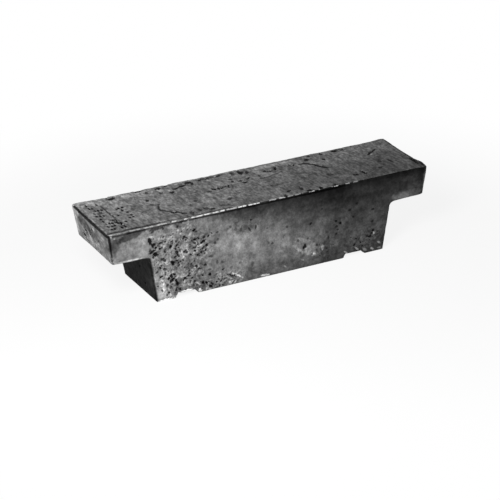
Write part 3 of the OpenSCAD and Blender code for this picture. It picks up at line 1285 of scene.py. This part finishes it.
TOP_PATCHES = top_marks(
    (-190, 50, 75, 18, 0, 1.6, BROAD), (-152, 50.4, 4.4, 3.4, 0, 1.5, TORN),
    (-121.7, 45.4, 3.8, 3.4, 0, 2, TORN), (-118, 44.7, 3, 3, 0, 1.6, TORN),
    (-92.3, 52.8, 5, 3, 0, 1.7, TORN), (-108.7, 40.5, 2.8, 4.6, 0, 1.6, TORN),
    (-48, 45.4, 2.4, 3.8, -10, 1.8, TORN), (52, 50, 42, 9, 0, 1.9, BROAD),
    # painted highlight: the light line along the rounding of the rim at the left end
    (-240.8, -18, 1.8, 40, 0, 1.5, Edge(0.2, 0.5, 6)), (198, 16.6, 3.6, 1.6, 35, 1.9, TORN),
    (193, 4.6, 2, 2.6, -20, 1.7, TORN), (156.6, -13.1, 2.4, 4.6, -25, 1.5, TORN),
    (-30, -50, 40, 12, 0, 0.75, BROAD),
)


@dataclass(frozen=True)
class CastFinish(ABC):
    """A finish of the cast metal, dark grey and half metallic."""

    name: str
    form: IngotForm
    tone: float
    metallic: float = 0.2
    roughness: float = 0.5
    roughness_swing: float = 0.08
    worn_smoother: float = 0.15
    specular: float = 0.0
    grain_size: float = 4.6 * MM
    grain_bump: float = 0.7 * MM
    worn_highlight_tone: float = 0.75

    @abstractmethod
    def tone_and_roughness(self, place: Signal, grain: Signal) -> tuple[Signal, Signal]:
        """Lays what is this finish's own.

        Args:
            place: the position on the casting.
            grain: the fine grain.

        Returns:
            The tone and the roughness.
        """

    def make(self) -> bpy.types.Material:
        """Makes the material.

        Returns:
            The material, ready to be put on a piece.
        """
        material = bpy.data.materials.new(self.name)
        bench = NodeBench.cleared(material)
        place = bench.put("ShaderNodeTexCoord", output="Object")
        grain = CastGrain.at(place, Size=self.grain_size)["Grain"]
        tone, roughness = self.tone_and_roughness(place, grain)
        wear_and_highlight = RimWearAndHighlight.at(place, Half_Width=self.form.half_width,
                          Height=self.form.height)["Wear And Highlight"]
        # painted highlight: the worn rim is painted bright here, and made smoother in the
        # roughness below
        tone = bench.blend(wear_and_highlight, tone, self.worn_highlight_tone)
        colour = bench.put("ShaderNodeCombineColor", (tone, tone, tone))
        bump = bench.put("ShaderNodeBump", {"Strength": 1.0, "Distance": self.grain_bump,
                                            "Height": grain})
        shader = bench.add("ShaderNodeBsdfPrincipled")
        bench.fill(shader, {
            "Metallic": self.metallic, "Specular IOR Level": self.specular,
            "Base Color": colour, "Roughness": roughness - wear_and_highlight * self.worn_smoother,
            "Normal": bump})
        bench.show("ShaderNodeOutputMaterial", shader)
        return material

    def grainy_roughness(self, grain: Signal) -> Signal:
        """The roughness, which swings a little with the grain."""
        return grain.ramp(0.3, 0.7, self.roughness - self.roughness_swing,
                          self.roughness + self.roughness_swing)

    @staticmethod
    def marked(marks: dict[str, Signal], **factors: float) -> list[Term]:
        """The factors on the tone of some kinds of mark, by the names of their masks."""
        return [marks[name].fade(factor) for name, factor in factors.items()]

    @staticmethod
    def patched(place: Signal, patches: tuple[Mark, ...]) -> Term:
        """The joint factor of a set of patches on the tone.

        Args:
            place: the position on the casting.
            patches: the patches, whose strength is their factor.

        Returns:
            The product of their factors.
        """
        factor: Term = 1.0
        for patch in patches:
            factor = place.bench.work("MULTIPLY", factor, patch.lay(place).fade(patch.strength))
        return factor


@dataclass(frozen=True)
class MouldSkin(CastFinish):
    """The skin that the mould's walls gave: pitted, and with painted shade deepening towards one
    end.
    """

    def tone_and_roughness(self, place: Signal, grain: Signal) -> tuple[Signal, Signal]:
        """Lays painted shade, pits and dents over the grain; see CastFinish.tone_and_roughness."""
        marks = MouldMarks.at(place)
        cloud = place.noise(42 * MM, 3.0, 0.55)
        mottle = place.noise(12 * MM, 3.0, 0.6)
        lively = marks["Rough"].ramp(0.0, 1.0, 0.5, 1.0)
        factors: list[Term] = [
            self.tone,
            cloud.step(*CLOUD_SPAN, 0.8, 1.2),
            lively.fade(mottle.ramp(*MOTTLE_SPAN, 0.5, 1.6)),
            lively.fade(grain.ramp(*GRAIN_SPAN, 0.45, 1.6)),
            # painted shade in the pits, dents and lines, darker the deeper they are; a painted
            # light ring round each pit
            *self.marked(marks, Pits=0.1, Dents=0.06, Lines=0.08, Halo=1.3, Flecks=1.8),
            self.patched(place, SIDE_PATCHES),
            *self.painted_shade(place),
        ]
        tone = place.bench.total(factors, "MULTIPLY")
        hole = place.bench.work("MAXIMUM", marks["Pits"], marks["Dents"])
        return tone, self.grainy_roughness(grain) + hole * 0.25

    def painted_shade(self, place: Signal) -> list[Term]:
        """The painted shade that deepens steadily over the near side towards its far end and its
        rim, and that on the body's ends under the lugs.

        Args:
            place: the position on the casting.

        Returns:
            The factors on the tone. One that is raised to a share fades in evenly with it.
        """
        x, y, z = place.parts()
        near = near_share(y)
        start = x.ramp(-75 * MM, -10 * MM, 86 * MM, 50 * MM)
        reach = x.step(-110 * MM, -55 * MM, 0.0, 0.72) + x.step(0.0, 130 * MM, 0.0, 0.33)
        shade_wedge = z.ramp(start, 110 * MM) ** 2.0 * reach
        along = x.step(-10 * MM, 130 * MM)
        low = x.step(-62 * MM, -30 * MM) * z.step(34 * MM, 12 * MM)
        end_plane = self.form.half_body_at(0) - z * -slope(self.form.body_end_draft)
        under = (abs(x) - end_plane).step(-4 * MM, -1 * MM) * z.step(70 * MM, 66 * MM)
        ends = x.step(-150 * MM, 150 * MM, 0.05, 0.45)
        blotched = place.noise(8 * MM, 4.0, 0.65).ramp(*MOTTLE_SPAN, 0.5, 1.7)
        # painted shade: the wedge under the near rim towards the far end, the falloff along the
        # near side, and the body's ends under the lugs, darkest at the near end. The band low in
        # the middle only darkens the tone towards the foot.
        return [0.08 ** (shade_wedge * near), 0.38 ** (along * near), 0.7 ** (low * near),
                under.fade(ends * blotched)]


@dataclass(frozen=True)
class FreeSurface(CastFinish):
    """The surface that set in the air: finely wrinkled, with cold shuts and punched rows."""

    def tone_and_roughness(self, place: Signal, grain: Signal) -> tuple[Signal, Signal]:
        """Lays wrinkles and cold shuts over the grain; see CastFinish.tone_and_roughness."""
        marks = FreeMarks.at(place)
        across = place * (1.0, 0.5, 1.0)
        cloud = place.noise(38 * MM, 3.0, 0.55)
        mottle = across.noise(8 * MM, 3.0, 0.65)
        streak = across.noise(3.4 * MM, 2.0, 0.6)
        factors: list[Term] = [
            self.tone,
            cloud.step(*CLOUD_SPAN, 0.85, 1.15),
            mottle.ramp(*MOTTLE_SPAN, 0.68, 1.32),
            streak.ramp(*MOTTLE_SPAN, 0.66, 1.38),
            grain.ramp(*GRAIN_SPAN, 0.75, 1.25),
            # painted shade in the dents, lines and punched dimples, darker the deeper they are
            *self.marked(marks, Dents=0.08, Lines=0.06, Punches=0.06),
            self.patched(place, TOP_PATCHES),
        ]
        x, y, _ = place.parts()
        # painted shade: the free surface darker towards its near edge, and darker still towards
        # the right end, most on its near half
        factors.append(y.ramp(60 * MM, -60 * MM, 1.14, 0.86))
        gain = y.step(45 * MM, -20 * MM, 0.9, 0.57)
        factors.append(gain ** x.step(-90 * MM, 210 * MM))
        return place.bench.total(factors, "MULTIPLY"), self.grainy_roughness(grain)


# ---------------------------------------------------------------- the studio


@dataclass(frozen=True)
class SoftBox:
    """A soft lamp: where it stands, what it points at, its size and its power in watts."""

    name: str
    at: Point
    aim: Point
    size: float
    power: float

    def hang(self) -> None:
        """Hangs the lamp in the scene."""
        data = bpy.data.lights.new(self.name, "AREA")
        data.shape = "SQUARE"
        data.size = self.size
        data.energy = self.power
        lamp = bpy.data.objects.new(self.name, data)
        lamp.location = self.at
        way = Vector(self.aim) - Vector(self.at)
        lamp.rotation_euler = way.to_track_quat("-Z", "Y").to_euler()
        bpy.context.scene.collection.objects.link(lamp)


@dataclass(frozen=True)
class Studio:
    """A plain pale floor, soft lamps, and a camera that looks down along the ingot."""

    floor_size: float = 30.0
    floor_tone: float = 0.75
    white_share: float = 0.88
    clear_from: float = 0.3
    clear_to: float = 0.7
    sky_level: float = 0.2
    lamps: tuple[SoftBox, ...] = (
        SoftBox("key", (-0.62, -0.68, 0.74), (-0.06, 0, 0.06), 0.35, 14),
        SoftBox("end_fill", (-1.3, -0.2, 0.5), (-0.2, 0, 0.09), 0.5, 3),
    )

    def lay_floor(self) -> None:
        """Lays the floor, which the camera sees nearly white and which keeps shadows."""
        bpy.ops.object.select_all(action="DESELECT")
        bpy.ops.mesh.primitive_plane_add(size=self.floor_size, location=(0, 0, 0))
        floor = bpy.context.object
        floor.name = "floor"
        material = bpy.data.materials.new("pale floor")
        bench = NodeBench.cleared(material)
        seen = self.seen_directly(bench)
        cloth = bench.put("ShaderNodeBsdfDiffuse", {"Color": (self.floor_tone,) * 3 + (1,)})
        white = bench.put("ShaderNodeEmission")
        mix = bench.add("ShaderNodeMixShader")
        away = bench.work("LENGTH", bench.put("ShaderNodeTexCoord", output="Object"))
        share = away.step(self.clear_from, self.clear_to, self.white_share, 1.0)
        bench.fill(mix, (seen * share, cloth, white))
        bench.show("ShaderNodeOutputMaterial", mix)
        floor.data.materials.append(material)

    @staticmethod
    def seen_directly(bench: NodeBench) -> Signal:
        """1 where the camera looks straight, by mirror or through glass, and 0 elsewhere."""
        path = bench.add("ShaderNodeLightPath")
        return bench.total([bench.out(path, f"Is {kind} Ray")
                            for kind in ("Camera", "Glossy", "Transmission")], "MAXIMUM")

    def raise_sky(self) -> None:
        """Makes the world white to the eye and a soft, even fill to the ingot."""
        world = bpy.data.worlds.new("studio")
        bpy.context.scene.world = world
        bench = NodeBench.cleared(world)
        sky = bench.add("ShaderNodeBackground")
        bench.fill(sky, {"Strength": bench.blend(self.seen_directly(bench), self.sky_level, 1.0)})
        bench.show("ShaderNodeOutputWorld", sky)

    def set_up(self) -> None:
        """Builds the whole studio."""
        self.lay_floor()
        self.raise_sky()
        for lamp in self.lamps:
            lamp.hang()


@dataclass(frozen=True)
class Viewpoint:
    """The camera: its bearing, height and tilt in degrees, and its place in metres."""

    azimuth: float = -26.576
    elevation: float = 23.758
    roll: float = -1.579
    distance: float = 2.73625
    aside: float = -0.00711
    above: float = 0.01540
    lens: float = 141.478

    def place(self) -> None:
        """Places the camera and makes it the scene's."""
        bearing, height, tilt = map(math.radians, (self.azimuth, self.elevation, self.roll))
        back = Vector((math.sin(bearing) * math.cos(height),
                       -math.cos(bearing) * math.cos(height), math.sin(height)))
        level = (-back).cross(Vector((0, 0, 1))).normalized()
        upright = level.cross(-back)
        right = level * math.cos(tilt) + upright * math.sin(tilt)
        up = upright * math.cos(tilt) - level * math.sin(tilt)
        camera = bpy.data.objects.new("camera", bpy.data.cameras.new("camera"))
        camera.data.lens = self.lens
        camera.location = back * self.distance + right * self.aside + up * self.above
        camera.rotation_mode = "QUATERNION"
        camera.rotation_quaternion = Matrix((right, up, back)).transposed().to_quaternion()
        bpy.context.scene.collection.objects.link(camera)
        bpy.context.scene.camera = camera


def main() -> None:
    """Builds the ingot and its studio."""
    logging.basicConfig(level=logging.INFO, format="%(name)s: %(message)s")
    scene = bpy.context.scene
    scene.view_settings.view_transform = "Standard"
    Studio().set_up()
    Viewpoint().place()
    form = IngotForm.of_node("ingot")
    casting = IngotCasting(form)
    piece = casting.build()
    casting.dress(piece, FreeSurface("free surface", form, tone=0.172).make(),
                  MouldSkin("mould skin", form, tone=0.168).make())
    LOG.info("%s: %d faces", piece.name, len(piece.data.polygons))


if __name__ == "__main__":
    main()
